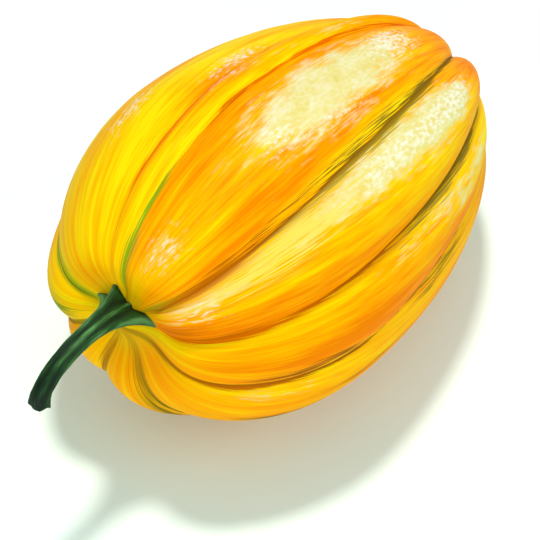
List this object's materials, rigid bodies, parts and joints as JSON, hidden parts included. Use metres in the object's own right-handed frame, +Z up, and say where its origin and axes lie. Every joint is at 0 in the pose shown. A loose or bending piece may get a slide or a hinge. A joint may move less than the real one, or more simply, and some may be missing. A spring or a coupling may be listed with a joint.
{
  "type": "acorn squash",
  "caption": "Whole golden acorn squash with deep lengthwise ribs and a cut, curved green stem, lying on its side on a small flat spot.",
  "frame": {"origin": "on the surface that the squash lies on, under the middle of its bounding box", "axes": "+X along the fruit from the stem to the blossom end, +Z up, so +Y is on the left of someone who looks from the stem to the blossom end"},
  "size_m": [0.1848, 0.0979, 0.0968],
  "materials": {
    "rind": "satin",
    "stem": "matte"
  },
  "bodies": {
    "root": {"fruit": "rind", "stem": "stem"}
  },
  "joints": []
}
